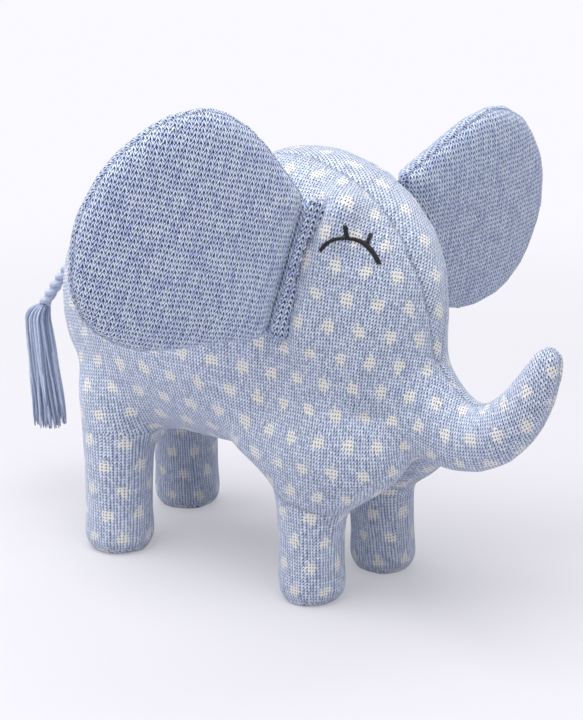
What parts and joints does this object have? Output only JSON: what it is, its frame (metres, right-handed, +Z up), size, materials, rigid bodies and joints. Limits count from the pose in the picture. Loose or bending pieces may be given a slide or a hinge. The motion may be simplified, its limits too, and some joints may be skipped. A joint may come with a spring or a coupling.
{
  "type": "stuffed elephant",
  "caption": "Knitted stuffed elephant toy standing on stub legs, with a curled trunk, padded ears that flap, closed stitched eyes and a cord tail ending in a tassel.",
  "frame": {"origin": "on the floor under the middle of the toy's box, measured without the tail", "axes": "+X towards the trunk, +Y to the toy's left, +Z up"},
  "size_m": [0.2971, 0.2534, 0.2179],
  "materials": {
    "knit_cover": "powder-blue machine knit with cream polka dots",
    "ear_knit": "plain powder-blue machine knit",
    "fibre_filling": "white loose fibre",
    "eye_thread": "black satin-stitch embroidery thread",
    "tail_yarn": "grey-blue twisted yarn"
  },
  "bodies": {
    "body": {"torso_right_panel": "knit_cover", "torso_left_panel": "knit_cover", "belly_gusset": "knit_cover", "torso_filling": "fibre_filling", "head_right_panel": "knit_cover", "head_left_panel": "knit_cover", "forehead_gusset": "knit_cover", "head_filling": "fibre_filling", "trunk_right_panel": "knit_cover", "trunk_left_panel": "knit_cover", "trunk_filling": "fibre_filling", "front_right_leg_cover": "knit_cover", "front_left_leg_cover": "knit_cover", "rear_right_leg_cover": "knit_cover", "rear_left_leg_cover": "knit_cover", "front_right_leg_filling": "fibre_filling", "front_left_leg_filling": "fibre_filling", "rear_right_leg_filling": "fibre_filling", "rear_left_leg_filling": "fibre_filling", "front_right_sole": "knit_cover", "front_left_sole": "knit_cover", "rear_right_sole": "knit_cover", "rear_left_sole": "knit_cover", "right_ear_root_band": "ear_knit", "left_ear_root_band": "ear_knit", "right_eye_stitching": "eye_thread", "left_eye_stitching": "eye_thread"},
    "right_ear": {"right_ear_front_panel": "ear_knit", "right_ear_back_panel": "ear_knit", "right_ear_wadding": "fibre_filling"},
    "left_ear": {"left_ear_front_panel": "ear_knit", "left_ear_back_panel": "ear_knit", "left_ear_wadding": "fibre_filling"},
    "tail": {"tail_cord": "tail_yarn"},
    "tassel": {"tassel_knot": "tail_yarn", "tassel_strands": "tail_yarn"}
  },
  "joints": [
    {"name": "right_ear_flap", "type": "hinge", "parent": "body", "child": "right_ear", "pos_m": [0.0218, -0.04788, 0.1505], "axis": [0.1992, 0.1826, 0.9628], "range_deg": [-18, 50], "stiffness_Nm_per_rad": 0.15},
    {"name": "left_ear_flap", "type": "hinge", "parent": "body", "child": "left_ear", "pos_m": [0.0218, 0.03912, 0.1475], "axis": [-0.1992, 0.1826, -0.9628], "range_deg": [-55, 13], "stiffness_Nm_per_rad": 0.15},
    {"name": "tail_lift", "type": "hinge", "parent": "body", "child": "tail", "pos_m": [-0.12985, -0.00438, 0.12749], "axis": [0, 1, 0], "range_deg": [-10, 50], "stiffness_Nm_per_rad": 0.03},
    {"name": "tassel_swing", "type": "hinge", "parent": "tail", "child": "tassel", "pos_m": [-0.16043, -0.00438, 0.09328], "axis": [1, 0, 0], "range_deg": [-45, 45]}
  ]
}
